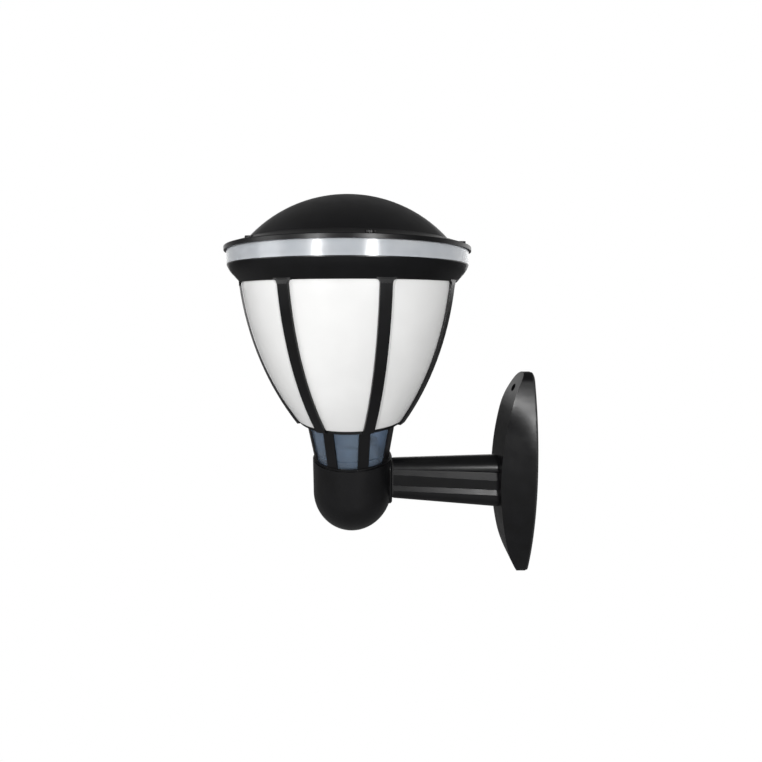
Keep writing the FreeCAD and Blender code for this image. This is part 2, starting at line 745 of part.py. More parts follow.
def make_cup():
    body = new_body("cup")
    revolve(body, [
        ("0", "-cup_drop - cup_radius", "cup_radius", 1),
        ("cup_radius", "-cup_drop"),
        ("cup_radius", CUP_TOP),
        ("0", CUP_TOP),
    ])
    boss = new_sketch(body, "YZ_Plane", "(boss_reach - boss_inset)")
    stadium(boss, "boss_half_width", "boss_half_height", f"({CUP_TOP} - boss_half_height)")
    pad(body, boss, "boss_inset")
    face = measure("boss_reach")
    near = Part.Precision.confusion() * 10
    fillet(body, "boss_fillet",
           lambda edge: all(abs(vertex.X - face) < near for vertex in edge.Vertexes))
    inner = "(cup_radius - cup_wall)"
    rebate = "(cup_radius - rim_wall)"
    hollow(body, [
        ("0", f"-cup_drop - {inner}", inner, 1),
        (inner, "-cup_drop"),
        (inner, LENS_FOOT),
        (rebate, LENS_FOOT),
        (rebate, CUP_TOP),
        ("0", CUP_TOP),
    ])
    passage = new_sketch(body, "YZ_Plane", "boss_reach")
    stadium(passage, "channel_half_width", "channel_half_height", ARM_LEVEL)
    for way in (1, -1):
        circle(passage, "0", f"{ARM_LEVEL} + {way} * arm_screw_offset", CLEAR_HOLE)
    pocket(body, passage, "boss_reach - bracket_radius + cup_wall")
    spots = new_sketch(body, "YZ_Plane", "(boss_reach - boss_land)")
    for way in (1, -1):
        circle(spots, "0", f"{ARM_LEVEL} + {way} * arm_screw_offset", "screw_head_radius + part_fit")
    pocket(body, spots, "cup_wall")
    pillars = new_sketch(body, "XY_Plane", "-bracket_drop")
    for way in (1, -1):
        circle(pillars, "0", f"{way} * bracket_screw_circle", "pillar_radius")
    pad(body, pillars, "pillar_height", back=True)
    holes = new_sketch(body, "XY_Plane", "-bracket_drop")
    for way in (1, -1):
        circle(holes, "0", f"{way} * bracket_screw_circle", SMALL_HOLE)
    pocket(body, holes, "small_screw_hole")


def make_lower_lens():
    line_level = f"({SILL_TOP} + lens_line_height)"
    groove_face = f"({LENS_FACE} - lens_line_depth)"
    back = f"({LENS_FACE} - lens_wall)"
    revolve(new_body("lower_lens"), [
        (cone(LENS_FOOT, LENS_FACE), LENS_FOOT),
        (cone(line_level, LENS_FACE), line_level),
        (cone(line_level, groove_face), f"{line_level} + lens_line_width / 2"),
        (cone(f"{line_level} + lens_line_width", LENS_FACE), f"{line_level} + lens_line_width"),
        (cone(FLANGE_BASE, LENS_FACE), FLANGE_BASE),
        (cone(FLANGE_BASE, back), FLANGE_BASE),
        (cone(LENS_FOOT, back), LENS_FOOT),
    ])


def make_lower_cage():
    body = new_body("lower_cage", turn="rib_azimuth")
    revolve(body, [
        ("ring_bore", FLANGE_BASE),
        ("flange_radius", FLANGE_BASE),
        ("flange_radius", RING_BASE),
        ("ring_bore", RING_BASE),
    ])
    rib = new_sketch(body, "XZ_Plane")
    outline(rib, [
        (cone(CUP_TOP, LOWER_RIB_BACK), CUP_TOP),
        (cone(CUP_TOP, "lower_rib_proud"), CUP_TOP),
        (cone(RING_BASE, "lower_rib_proud"), RING_BASE),
        (cone(RING_BASE, LOWER_RIB_BACK), RING_BASE),
    ])
    polar(body, [pad(body, rib, "lower_rib_width", both=True)], "rib_count")
    revolve(body, [
        (cone(SILL_TOP, LOWER_RIB_BACK), CUP_TOP),
        ("lens_foot_radius + sill_wall", CUP_TOP),
        ("lens_foot_radius + sill_wall", SILL_TOP),
        (cone(SILL_TOP, LOWER_RIB_BACK), SILL_TOP),
    ])
    cage_screw_holes(body, FLANGE_BASE, "flange_height")


def cage_screw_holes(body, level, depth):
    """Four holes between the ribs for the cage screws."""
    between = "(180 / rib_count)"
    hole = new_sketch(body, "XY_Plane", level)
    circle(hole, f"cage_screw_circle * cos({between})", f"cage_screw_circle * sin({between})", SMALL_HOLE)
    polar(body, [pocket(body, hole, depth, back=True)], "cage_screw_count")


def make_upper_cage():
    body = new_body("upper_cage", turn="rib_azimuth")
    bore = "(shade_radius + rib_proud - rib_thickness + slip_fit)"
    revolve(body, [
        (bore, COLLAR_BASE),
        ("collar_foot_radius", COLLAR_BASE),
        ("collar_shoulder_radius", f"{COLLAR_BASE} + collar_shoulder_height", "collar_round", 1),
        ("collar_radius", f"{COLLAR_TOP} - collar_side"),
        ("collar_radius", COLLAR_TOP),
        (bore, COLLAR_TOP),
    ])
    rib_top = f"({COLLAR_BASE} + rib_thickness)"
    rib = new_sketch(body, "XZ_Plane")
    outline(rib, [
        ("ring_radius - ring_height", RING_BASE),
        (bell(RING_BASE, "rib_proud"), RING_BASE, "bell_radius + rib_proud", 1),
        (bell(rib_top, "rib_proud"), rib_top),
        (bell(rib_top, RIB_BACK), rib_top, f"bell_radius + {RIB_BACK}", -1),
        (bell(RING_TOP, RIB_BACK), RING_TOP),
        ("ring_radius - ring_height", RING_TOP),
    ])
    rib_pad = pad(body, rib, "rib_width", both=True)
    flare_foot = f"({COLLAR_BASE} - rib_flare)"
    flare = new_sketch(body, "YZ_Plane", bell(COLLAR_BASE, RIB_BACK))
    outline(flare, [
        ("rib_width / 2", flare_foot, "rib_flare", -1),
        ("rib_width / 2 + rib_flare", COLLAR_BASE),
        ("rib_width / 2 + rib_flare", rib_top),
        ("-rib_width / 2 - rib_flare", rib_top),
        ("-rib_width / 2 - rib_flare", COLLAR_BASE, "rib_flare", -1),
        ("-rib_width / 2", flare_foot),
    ])
    polar(body, [rib_pad, pad(body, flare, "rib_thickness")], "rib_count")
    revolve(body, [
        ("ring_bore", RING_BASE),
        ("ring_radius", RING_BASE),
        ("ring_radius", RING_TOP),
        ("ring_bore", RING_TOP),
    ])
    cage_screw_holes(body, RING_BASE, "ring_height")


def lug_holes(body, level, depth, radius):
    """Holes down from a level at the cap screws, in a body turned to the lugs."""
    hole = circle(new_sketch(body, "XY_Plane", level), "lug_circle", "0", radius)
    polar(body, [pocket(body, hole, depth)], "lug_count")


def make_shade():
    """Bell of even wall; its turned-in foot is an arc that runs smoothly into the bell at the level join."""
    turn_top = f"({RING_TOP} + shade_turn_radius)"
    foot = bell(turn_top, f"{SHADE_FACE} - shade_turn_radius")
    face_radius = f"(bell_radius + {SHADE_FACE})"
    lean = f"({face_radius} / ({face_radius} - shade_turn_radius))"
    join = f"({BELL_LEVEL} - ({BELL_LEVEL} - {turn_top}) * {lean})"
    foot_back = f"({foot} - shade_wall)"
    foot_top = f"({turn_top} + shade_wall)"
    revolve(new_body("shade"), [
        (foot, RING_TOP, "shade_turn_radius", 1),
        (bell(join, SHADE_FACE), join, face_radius, 1),
        (bell(COLLAR_BASE, SHADE_FACE), COLLAR_BASE),
        (bell(COLLAR_BASE, SHADE_FACE), COLLAR_TOP),
        ("shade_flange_radius", COLLAR_TOP),
        ("shade_flange_radius", BAND_FLOOR),
        (bell(COLLAR_BASE, SHADE_BACK), BAND_FLOOR),
        (bell(COLLAR_BASE, SHADE_BACK), COLLAR_BASE, f"bell_radius + {SHADE_BACK}", -1),
        (bell(foot_top, SHADE_BACK), foot_top),
        (foot_back, turn_top),
        (foot_back, RING_TOP),
    ])


def make_light_band():
    body = new_body("light_band", turn="lug_azimuth")
    revolve(body, [
        (BAND_BORE, COLLAR_TOP),
        ("band_radius", COLLAR_TOP),
        ("band_radius", BAND_TOP),
        (BAND_BORE, BAND_TOP),
        (BAND_BORE, f"{BAND_FLOOR} + band_flange_height"),
        ("band_bore", f"{BAND_FLOOR} + band_flange_height"),
        ("band_bore", BAND_FLOOR),
        (BAND_BORE, BAND_FLOOR),
    ])
    post = circle(new_sketch(body, "XY_Plane", BAND_FLOOR), "lug_circle", "0", "post_radius")
    polar(body, [pad(body, post, f"{BAND_TOP} - {BAND_FLOOR}")], "lug_count")
    lug_holes(body, BAND_TOP, "cap_screw_hole", POST_HOLE)


def make_dome_cap():
    body = new_body("dome_cap", turn="lug_azimuth")
    inner_radius = f"({DOME_RADIUS} - cap_wall)"
    inner_base = f"({DOME_BASE} - cap_wall)"
    inner_root = f"sqrt({inner_radius}^2 - ({DOME_RADIUS} - dome_rise - cap_wall)^2)"
    seat_bore = f"({LIP_BORE} - seat_width)"
    revolve(body, [
        ("0", DOME_TOP),
        ("0", f"{DOME_TOP} - cap_wall", inner_radius, -1),
        (inner_root, inner_base),
        (seat_bore, f"{CAP_SEAT} + seat_depth"),
        (seat_bore, CAP_SEAT),
        (LIP_BORE, CAP_SEAT),
        (LIP_BORE, LIP_BASE),
        ("brim_radius", LIP_BASE),
        ("brim_radius", LIP_TOP, "brim_edge_round", 1),
        ("brim_radius - brim_edge_width", f"{LIP_TOP} + brim_edge_rise"),
        ("dome_root_radius", DOME_BASE, DOME_RADIUS, 1),
    ])
    lug = circle(new_sketch(body, "XY_Plane", CAP_SEAT), "lug_circle", "0", "lug_radius")
    polar(body, [pad(body, lug, f"{LUG_TOP} - {CAP_SEAT}")], "lug_count")
    post = circle(new_sketch(body, "XY_Plane", HUB_TOP), "0", "0", "reflector_post")
    pad(body, post, f"{DOME_TOP} - cap_wall / 2 - {HUB_TOP}")
    hole = circle(new_sketch(body, "XY_Plane", HUB_TOP), "0", "0", CLEAR_HOLE)
    pocket(body, hole, "earth_screw_length + slip_fit", back=True)
    lug_holes(body, DOME_BASE, f"{DOME_BASE} - {CAP_SEAT}", SMALL_HOLE)
    lug_holes(body, DOME_BASE, f"{DOME_BASE} - {CAP_SCREW_SEAT}", "small_head_radius + part_fit")


def make_cap_gasket():
    body = new_body("cap_gasket", turn="lug_azimuth")
    rim = "(band_radius - slip_fit)"
    revolve(body, [
        (f"{rim} - gasket_width", BAND_TOP),
        (rim, BAND_TOP),
        (rim, CAP_SEAT),
        (f"{rim} - gasket_width", CAP_SEAT),
    ])
    lug_holes(body, CAP_SEAT, "gasket_height", SMALL_HOLE)


def make_reflector():
    revolve(new_body("reflector"), [
        (CLEAR_HOLE, f"{HUB_TOP} - reflector_wall"),
        ("reflector_hub", f"{HUB_TOP} - reflector_wall"),
        ("reflector_radius", f"{REFLECTOR_TOP} - reflector_wall"),
        ("reflector_radius", REFLECTOR_TOP),
        ("reflector_hub", HUB_TOP),
        (CLEAR_HOLE, HUB_TOP),
    ])


def make_lantern_fasteners():
    between = "(180 / rib_count)"
    screws("cage_screws", [("cage_screw_circle", "0")], RING_TOP, "ring_height + flange_height",
           size="small", turn=f"(rib_azimuth + {between})", count="cage_screw_count")
    screws("cap_screws", [("lug_circle", "0")], CAP_SCREW_SEAT, "cap_screw_length",
           size="small", turn="lug_azimuth", count="lug_count")
    screws("reflector_screw", [("0", "0")], f"({HUB_TOP} - reflector_wall)",
           "reflector_wall + earth_screw_length", way=-1)
    pair = [("0", f"{way} * bracket_screw_circle") for way in (1, -1)]
    screws("bracket_screws", pair, BRACKET_TOP, "bracket_height + small_screw_hole - slip_fit", size="small")
    pair = [(f"{way} * holder_screw_offset", "0") for way in (1, -1)]
    screws("holder_screws", pair, "-bracket_drop", "bracket_height + small_screw_hole - slip_fit",
           size="small", way=-1)


def make_holder():
    bracket = new_body("holder_bracket")
    plate = circle(new_sketch(bracket, "XY_Plane", "-bracket_drop"), "0", "0", "bracket_radius")
    for way in (1, -1):
        circle(plate, "0", f"{way} * bracket_screw_circle", SMALL_HOLE)
        circle(plate, f"{way} * holder_screw_offset", "0", SMALL_HOLE)
    pad(bracket, plate, "bracket_height")

    holder = new_body("holder_body")
    revolve(holder, [
        ("0", BRACKET_TOP),
        ("holder_radius", BRACKET_TOP),
        ("holder_radius", f"{BRACKET_TOP} + holder_height"),
        ("holder_bore", f"{BRACKET_TOP} + holder_height"),
        ("holder_bore", HOLDER_FLOOR),
        ("0", HOLDER_FLOOR),
    ])
    entries = new_sketch(holder, "YZ_Plane", "lead_entry")
    pilots = new_sketch(holder, "XY_Plane", BRACKET_TOP)
    for way in (1, -1):
        circle(entries, f"{way} * lead_pitch", LEAD_LEVEL, LEAD_HOLE)
        circle(pilots, f"{way} * holder_screw_offset", "0", SMALL_HOLE)
    pocket(holder, entries, "holder_radius - lead_entry + part_fit", back=True)
    pocket(holder, pilots, "small_screw_hole", back=True)

    shell_bore = "(shell_radius - shell_wall)"
    revolve(new_body("holder_shell"), [
        (shell_bore, HOLDER_FLOOR),
        ("shell_radius", HOLDER_FLOOR),
        ("shell_radius", f"{HOLDER_FLOOR} + shell_height"),
        (shell_bore, f"{HOLDER_FLOOR} + shell_height"),
    ])
    contact = new_body("holder_contact")
    disc = circle(new_sketch(contact, "XY_Plane", HOLDER_FLOOR), "0", "0", "contact_radius")
    pad(contact, disc, "contact_height")

    tag = new_body("earth_tag")
    profile = outline(new_sketch(tag, "XZ_Plane"), [
        ("tag_reach - tag_foot", BRACKET_TOP),
        ("tag_reach", BRACKET_TOP),
        ("tag_reach", f"{BRACKET_TOP} + tag_height"),
        ("tag_reach - tag_thickness", f"{BRACKET_TOP} + tag_height"),
        ("tag_reach - tag_thickness", f"{BRACKET_TOP} + tag_thickness"),
        ("tag_reach - tag_foot", f"{BRACKET_TOP} + tag_thickness"),
    ])
    pad(tag, profile, "2 * tag_half_width", both=True)


def make_lamp():
    revolve(new_body("lamp_tip"), [
        ("0", LAMP_BASE),
        ("0.6 * tip_radius", LAMP_BASE),
        ("tip_radius", f"{LAMP_BASE} + 0.3 * tip_height"),
        ("tip_radius", LAMP_CAP_BASE),
        ("0", LAMP_CAP_BASE),
    ])
    cap_bore = "(lamp_cap_radius - lamp_cap_wall)"
    revolve(new_body("lamp_cap"), [
        ("0", LAMP_CAP_BASE),
        ("lamp_cap_radius - lamp_cap_taper", LAMP_CAP_BASE),
        ("lamp_cap_radius", f"{LAMP_CAP_BASE} + lamp_cap_taper"),
        ("lamp_cap_radius", LAMP_CAP_TOP),
        (cap_bore, LAMP_CAP_TOP),
        (cap_bore, f"{LAMP_CAP_BASE} + lamp_cap_taper"),
        ("0", f"{LAMP_CAP_BASE} + lamp_cap_taper"),
    ])
    spigot = f"({cap_bore} - slip_fit)"
    revolve(new_body("lamp_neck"), [
        ("0", f"{LAMP_CAP_TOP} - neck_spigot"),
        (spigot, f"{LAMP_CAP_TOP} - neck_spigot"),
        (spigot, LAMP_CAP_TOP),
        ("neck_root_radius", LAMP_CAP_TOP),
        (GLOBE_SEAT_RADIUS, GLOBE_BASE),
        ("0", GLOBE_BASE),
    ])
    inner = "(globe_radius - globe_wall)"
    revolve(new_body("lamp_globe"), [
        (GLOBE_SEAT_RADIUS, GLOBE_BASE, "globe_radius", 1),
        ("globe_radius", GLOBE_LEVEL, "globe_radius", 1),
        ("0", f"{GLOBE_LEVEL} + globe_radius"),
        ("0", f"{GLOBE_LEVEL} + {inner}", inner, -1),
        (inner, GLOBE_LEVEL, inner, -1),
        (f"sqrt({inner}^2 - globe_seat^2)", GLOBE_BASE),
    ])


def make_lead(label, start, place):
    """Lead from the holder along the arm, then round a quarter bend down into its terminal."""
    body = new_body(label, reach=False)
    path = outline(new_sketch(body, "XZ_Plane", f"-({place} * lead_pitch)"), [
        (start, LEAD_LEVEL),
        ("-lead_turn", LEAD_LEVEL, "lead_bend", -1),
        (BLOCK_CENTRE, f"{LEAD_LEVEL} - lead_bend"),
        (BLOCK_CENTRE, "-block_top - lead_grip"),
    ], closed=False)
    section = circle(new_sketch(body, "YZ_Plane", start), f"{place} * lead_pitch", LEAD_LEVEL, "lead_radius")
    feature = body.newObject("PartDesign::AdditivePipe", f"{label}_sweep")
    feature.Profile = section
    feature.Spine = (path, [f"Edge{number + 1}" for number in range(path.GeometryCount)])


make_wall_gasket()
make_wall_plate()
make_terminal_block()
make_cord_clamp()
make_plate_fasteners()
make_arm()
make_arm_seal()
make_cup()
make_lower_lens()
make_lower_cage()
make_upper_cage()
make_shade()
make_light_band()
make_dome_cap()
make_cap_gasket()
make_reflector()
make_lantern_fasteners()
make_holder()
make_lamp()
make_lead("live_lead", "(lead_entry - lantern_reach)", 1)
make_lead("neutral_lead", "(lead_entry - lantern_reach)", -1)
make_lead("earth_lead", "(tag_reach - lantern_reach)", 0)
doc.recompute()

# Every node of the part, one STEP file each
NODES = [
    "wall_gasket", "wall_plate", "terminal_block", "cord_clamp", "terminal_screws", "block_screws",
    "clamp_screws", "earth_screw", "plate_screws", "arm_screws", "arm", "arm_seal", "cup", "lower_lens",
    "lower_cage", "upper_cage", "shade", "light_band", "dome_cap", "cap_gasket", "reflector",
    "cage_screws", "cap_screws", "reflector_screw", "bracket_screws", "holder_screws", "holder_bracket",
    "holder_body", "holder_shell", "holder_contact", "earth_tag", "lamp_tip", "lamp_cap", "lamp_neck",
    "lamp_globe", "live_lead", "neutral_lead", "earth_lead",
]
for item in doc.Objects:
    if "Invalid" in item.State or "Error" in item.State:
        raise RuntimeError(f"{item.Label} did not build")

os.makedirs("parts", exist_ok=True)
for node in NODES:
    shape = doc.getObjectsByLabel(node)[0].Shape
    if shape.isNull() or not shape.isValid() or not shape.Solids:
        raise RuntimeError(f"{node} has no sound solid")
    shape.exportStep(f"parts/{node}.step")
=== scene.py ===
import json
import math

import bmesh
import bpy
import numpy as np
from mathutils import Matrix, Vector


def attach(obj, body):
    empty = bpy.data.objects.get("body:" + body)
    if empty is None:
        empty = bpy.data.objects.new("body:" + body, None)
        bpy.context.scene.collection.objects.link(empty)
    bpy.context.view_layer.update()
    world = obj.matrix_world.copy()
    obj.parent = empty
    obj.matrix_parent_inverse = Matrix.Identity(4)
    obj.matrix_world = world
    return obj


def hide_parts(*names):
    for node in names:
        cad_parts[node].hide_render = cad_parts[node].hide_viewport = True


# Looks of a wall lantern: satin black castings, opal bell shade, clear band, smoked lower lens.
# Metres throughout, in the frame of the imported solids: origin on the wall, +Z up, lantern towards -X.

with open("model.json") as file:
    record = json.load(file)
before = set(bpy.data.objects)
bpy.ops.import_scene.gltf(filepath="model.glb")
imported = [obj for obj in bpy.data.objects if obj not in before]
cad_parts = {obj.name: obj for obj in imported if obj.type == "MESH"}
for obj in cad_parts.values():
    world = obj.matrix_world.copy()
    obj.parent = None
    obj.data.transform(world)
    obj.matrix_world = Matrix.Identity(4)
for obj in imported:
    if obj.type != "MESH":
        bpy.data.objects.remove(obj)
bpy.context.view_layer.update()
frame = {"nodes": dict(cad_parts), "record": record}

MM = 0.001
AXIS_X = -137 * MM
LANTERN_MIDDLE = Vector((AXIS_X, 0, 90 * MM))

# The sRGB curve: a straight foot, then a lifted power
BRIGHTEST_BYTE = 255
FOOT_END = 0.04045
FOOT_SLOPE = 12.92
CURVE_LIFT = 0.055
CURVE_POWER = 2.4

OPAQUE = 1.0
WHITE = (1, 1, 1, 1)

# Noise is read from its low to its high value, and held beyond them
NOISE_LOW = 0.3
NOISE_HIGH = 0.7
NOISE_DETAIL = 2.0

# Spacing of a wave texture's lines where its scale is one
WAVE_PITCH = math.pi / 10

ACRYLIC_IOR = 1.49

# Red, green and blue light spread equally far under a skin
EVEN_SPREAD = (1.0, 1.0, 1.0)


def tone(code):
    """Linear colour of an sRGB hex code."""
    def linear(value):
        if value <= FOOT_END:
            return value / FOOT_SLOPE
        return ((value + CURVE_LIFT) / (1 + CURVE_LIFT)) ** CURVE_POWER
    return [linear(byte / BRIGHTEST_BYTE) for byte in bytes.fromhex(code)] + [OPAQUE]


def put(name, data):
    """New object in the scene for a mesh, a camera or a light."""
    made = bpy.data.objects.new(name, data)
    bpy.context.scene.collection.objects.link(made)
    return made


def add(tree, kind, feed, out=0, **settings):
    """Add one node with its settings, and give the output that out names or numbers.

    feed gives each input a value or the socket that drives it.
    """
    made = tree.nodes.new("ShaderNode" + kind)
    for name, value in settings.items():
        setattr(made, name, value)
    for place, value in feed.items():
        if isinstance(value, bpy.types.NodeSocket):
            tree.links.new(value, made.inputs[place])
        else:
            made.inputs[place].default_value = value
    return made.outputs[out]


def finish(name, shade_with, **inputs):
    """Material whose Principled shader takes constant inputs, then what shade_with(tree, place) drives."""
    material = bpy.data.materials.new(name)
    material.use_nodes = True
    tree = material.node_tree
    shader = tree.nodes["Principled BSDF"]
    for key, value in inputs.items():
        shader.inputs[key.replace("_", " ")].default_value = value
    place = add(tree, "TexCoord", {}, "Object")
    for key, socket in shade_with(tree, place).items():
        tree.links.new(socket, shader.inputs[key])
    return material


def drifting(tree, place, patch, low, high):
    """A value that wanders between low and high over patches of a size in millimetres."""
    cloud = add(tree, "TexNoise", {"Vector": place, "Scale": 1 / (patch * MM), "Detail": NOISE_DETAIL})
    spread = {"From Min": NOISE_LOW, "From Max": NOISE_HIGH, "To Min": low, "To Max": high}
    return add(tree, "MapRange", {"Value": cloud, **spread})


def tinted(tree, place, patch, low, high):
    """A colour that wanders between two sRGB hex colours over patches of a size in millimetres."""
    share = drifting(tree, place, patch, low=0.0, high=1.0)
    return add(tree, "Mix", {"Factor": share, "A": tone(low), "B": tone(high)}, "Result", data_type="RGBA")


def grained(tree, place, grain, depth):
    """Relief of soft bumps, their width and depth in millimetres."""
    bumps = add(tree, "TexNoise", {"Vector": place, "Scale": 1 / (grain * MM), "Detail": NOISE_DETAIL})
    return add(tree, "Bump", {"Height": bumps, "Distance": depth * MM})


def powder_coat():
    """Satin black powder coat on cast aluminium: near black, an even sheen broken by fine orange peel."""
    def pattern(tree, place):
        return {
            "Base Color": tinted(tree, place, patch=14, low="09090a", high="0e0e10"),
            "Roughness": drifting(tree, place, patch=9, low=0.29, high=0.36),
            "Normal": grained(tree, place, grain=0.9, depth=0.012),
        }
    return finish("satin_black_powder_coat", pattern, Specular_IOR_Level=0.32)


def opal_acrylic():
    """Opal acrylic, injection moulded: milky, light spreads under its skin, with a clouded gloss."""
    def pattern(tree, place):
        return {
            "Base Color": tinted(tree, place, patch=35, low="ebebea", high="f2f2f1"),
            "Roughness": drifting(tree, place, patch=12, low=0.29, high=0.36),
            "Normal": grained(tree, place, grain=16, depth=0.04),
        }
    spread = {"Subsurface_Weight": 0.25, "Subsurface_Scale": 3 * MM, "Subsurface_Radius": EVEN_SPREAD}
    return finish("opal_moulded_acrylic", pattern, IOR=ACRYLIC_IOR, **spread)


def clear_acrylic():
    """Clear acrylic with a light haze: see-through but milky, with slight flow waves that bend the view."""
    def pattern(tree, place):
        return {
            "Base Color": tinted(tree, place, patch=20, low="dbe0e6", high="ebeef2"),
            "Normal": grained(tree, place, grain=11, depth=0.09),
        }
    haze = {"Transmission_Weight": 0.48, "Roughness": 0.18}
    return finish("clear_moulded_acrylic", pattern, IOR=ACRYLIC_IOR, **haze)


def smoke_acrylic():
    """Smoke-tinted acrylic with a frosted back: blue-grey, blurred, a soft gloss in front."""
    def pattern(tree, place):
        return {
            "Base Color": tinted(tree, place, patch=18, low="8e9fb4", high="a2b2c4"),
            "Roughness": drifting(tree, place, patch=7, low=0.16, high=0.22),
            "Normal": grained(tree, place, grain=3.0, depth=0.02),
        }
    return finish("smoke_frosted_acrylic", pattern, IOR=ACRYLIC_IOR, Transmission_Weight=0.82)


def wave_scale(spacing):
    """Wave texture's scale for lines this many millimetres apart: its pitch at scale one over theirs."""
    return WAVE_PITCH / (spacing * MM)


def spun_aluminium():
    """Aluminium spun on a lathe: bright, with fine rings round the axis from the spinning tool."""
    def pattern(tree, place):
        centred = add(tree, "Mapping", {"Vector": place, "Location": (-AXIS_X, 0, 0)})
        lathe = {"Vector": centred, "Scale": wave_scale(spacing=1.6), "Distortion": 0.4}
        rings = add(tree, "TexWave", lathe, "Fac", wave_type="RINGS", rings_direction="Z")
        return {
            "Base Color": tinted(tree, place, patch=25, low="c3c5c9", high="d6d8da"),
            "Roughness": add(tree, "MapRange", {"Value": rings, "To Min": 0.29, "To Max": 0.38}),
            "Normal": add(tree, "Bump", {"Height": rings, "Distance": 0.02 * MM}),
        }
    return finish("spun_aluminium", pattern, Metallic=1.0)


def moulded_rubber():
    """Black EPDM rubber, moulded: dull, with a fine grain."""
    def pattern(tree, place):
        return {
            "Base Color": tinted(tree, place, patch=0.6, low="1b1b1c", high="262627"),
            "Roughness": drifting(tree, place, patch=5, low=0.68, high=0.82),
            "Normal": grained(tree, place, grain=0.6, depth=0.03),
        }
    return finish("moulded_epdm_rubber", pattern)


def moulded_plastic(name, low, high):
    """Matt thermoplastic, moulded against a spark-eroded tool: fine even texture, faint colour drift."""
    def pattern(tree, place):
        return {
            "Base Color": tinted(tree, place, patch=16, low=low, high=high),
            "Roughness": drifting(tree, place, patch=0.7, low=0.42, high=0.55),
            "Normal": grained(tree, place, grain=0.7, depth=0.02),
        }
    return finish(name, pattern)


def plated_steel(name, patch, low, high):
    """Steel with clear zinc plating: cool grey, its plating clouded in patches, its roughness low to high."""
    def pattern(tree, place):
        return {
            "Base Color": tinted(tree, place, patch, low="9b9fa3", high="b9bcbd"),
            "Roughness": drifting(tree, place, patch, low, high),
            "Normal": grained(tree, place, grain=0.5, depth=0.01),
        }
    return finish(name, pattern, Metallic=1.0)


def bare_brass():
    """Brass strip, pressed and left bare: yellow, clouded with duller patches."""
    def pattern(tree, place):
        return {
            "Base Color": tinted(tree, place, patch=4, low="cdb06a", high="a98a4a"),
            "Roughness": drifting(tree, place, patch=4, low=0.29, high=0.42),
        }
    return finish("bare_pressed_brass", pattern, Metallic=1.0)


def rolled_aluminium():
    """Aluminium sheet, drawn and rolled: pale grey with fine drawing lines round the lamp's axis."""
    def pattern(tree, place):
        drawing = {"Vector": place, "Scale": wave_scale(spacing=0.8), "Distortion": 0.3}
        lines = add(tree, "TexWave", drawing, "Fac", bands_direction="Z")
        return {
            "Base Color": tinted(tree, place, patch=6, low="b4b5b7", high="c9cacb"),
            "Roughness": add(tree, "MapRange", {"Value": lines, "To Min": 0.29, "To Max": 0.40}),
        }
    return finish("rolled_aluminium", pattern, Metallic=1.0)


def frosted_lamp():
    """Lamp envelope in frosted polycarbonate: even soft white, light spreads under its skin."""
    def pattern(tree, place):
        return {
            "Base Color": tinted(tree, place, patch=20, low="efefeb", high="f6f6f3"),
            "Roughness": drifting(tree, place, patch=3, low=0.40, high=0.50),
        }
    spread = {"Subsurface_Weight": 0.2, "Subsurface_Scale": 2 * MM, "Subsurface_Radius": EVEN_SPREAD}
    return finish("frosted_polycarbonate", pattern, **spread)


LOOKS = {
    "black_coating": powder_coat(),
    "white_plastic": moulded_plastic("white_moulded_plastic", low="dededa", high="e9e9e6"),
    "opal_plastic": opal_acrylic(),
    "clear_plastic": clear_acrylic(),
    "smoke_plastic": smoke_acrylic(),
    "gasket_rubber": moulded_rubber(),
    "cream_plastic": moulded_plastic("cream_moulded_plastic", low="cfc8b4", high="dbd5c4"),
    "screw_steel": plated_steel("zinc_plated_screw_steel", patch=1.5, low=0.29, high=0.40),
    "bracket_steel": plated_steel("zinc_plated_sheet_steel", patch=7, low=0.32, high=0.46),
    "spun_aluminium": spun_aluminium(),
    "contact_brass": bare_brass(),
    "lamp_metal": rolled_aluminium(),
    "lamp_opal": frosted_lamp(),
    "brown_sleeve": moulded_plastic("brown_pvc_sleeve", low="5a3a26", high="6b4730"),
    "blue_sleeve": moulded_plastic("blue_pvc_sleeve", low="2a4f9c", high="355cae"),
    "green_sleeve": moulded_plastic("green_pvc_sleeve", low="4c8a3a", high="5f9c46"),
}
for part in frame["record"]["subparts"]:
    for slot in frame["nodes"][part["node"]].material_slots:
        slot.material = LOOKS[part["material_slot"]]

# Wall plate: the casting's flanks draw in from the long oval at the wall to a nearly straight front crease
PLATE_HALF_WIDTH = 21 * MM
PLATE_HALF_HEIGHT = 80.2 * MM
PLATE_END_RADIUS = 9 * MM
PLATE_DEPTH = 24.8 * MM
SHOULDER_LEVEL = 50 * MM
SHOULDER_DEPTH = 19.4 * MM
PLATE_EDGE_DEPTH = 6.8 * MM
PLATE_SKIN = 3 * MM
GASKET_HEIGHT = 1.5 * MM
CREASE_HALF_WIDTH = 14 * MM
CREASE_SHARPNESS = 12
ARM_HALF_WIDTH = 9 * MM
LEAST_SPARE = 1 * MM
FLANK_ROUND = 1.5
MERGE_DISTANCE = 0.001 * MM
EDGE_LIMIT = 4 * MM
HALVINGS = 5
SHARP_ANGLE = 28
X, Y, Z = 0, 1, 2


def plate_outline(level):
    """Half width of the oval at a level, by its side arc, whose radius runs it smoothly into the end arcs."""
    rise = PLATE_HALF_HEIGHT - PLATE_END_RADIUS
    spare = PLATE_HALF_WIDTH - PLATE_END_RADIUS
    radius = (PLATE_HALF_WIDTH ** 2 + rise ** 2 - PLATE_END_RADIUS ** 2) / (2 * spare)
    return np.sqrt(radius ** 2 - level ** 2) - (radius - PLATE_HALF_WIDTH)


